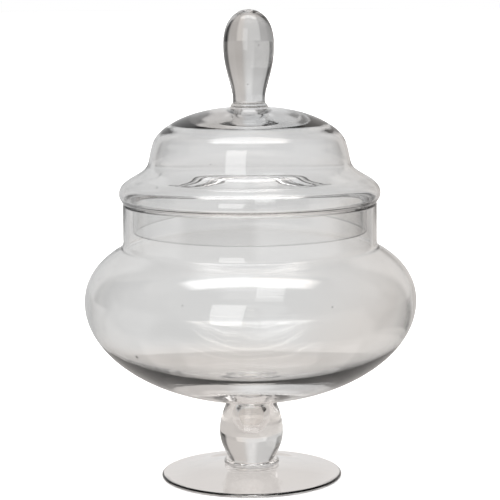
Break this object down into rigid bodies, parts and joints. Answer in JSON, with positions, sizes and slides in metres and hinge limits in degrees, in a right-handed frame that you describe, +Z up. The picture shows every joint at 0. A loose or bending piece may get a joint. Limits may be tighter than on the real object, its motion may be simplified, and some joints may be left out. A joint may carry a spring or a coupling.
{
  "type": "footed apothecary jar",
  "caption": "Clear blown-glass apothecary jar with a wide bellied bowl on a barrel stem and round foot, and a domed lid with a drop-shaped finial that lifts out of the neck.",
  "frame": {"origin": "on the jar's axis, in the plane the foot stands on", "axes": "+Z up along the axis that every piece is turned about, towards the finial; X and Y are level and equivalent"},
  "size_m": [0.2194, 0.2194, 0.31],
  "materials": {
    "clear_glass": "clear, fire-polished"
  },
  "bodies": {
    "jar": {"foot": "clear_glass", "foot_wafer": "clear_glass", "stem": "clear_glass", "bowl": "clear_glass"},
    "lid": {"lid": "clear_glass", "finial_wafer": "clear_glass", "finial": "clear_glass"}
  },
  "joints": [
    {"name": "lid_lift", "type": "slide", "parent": "jar", "child": "lid", "axis": [0, 0, 1], "range_m": [0, 0.16]}
  ]
}
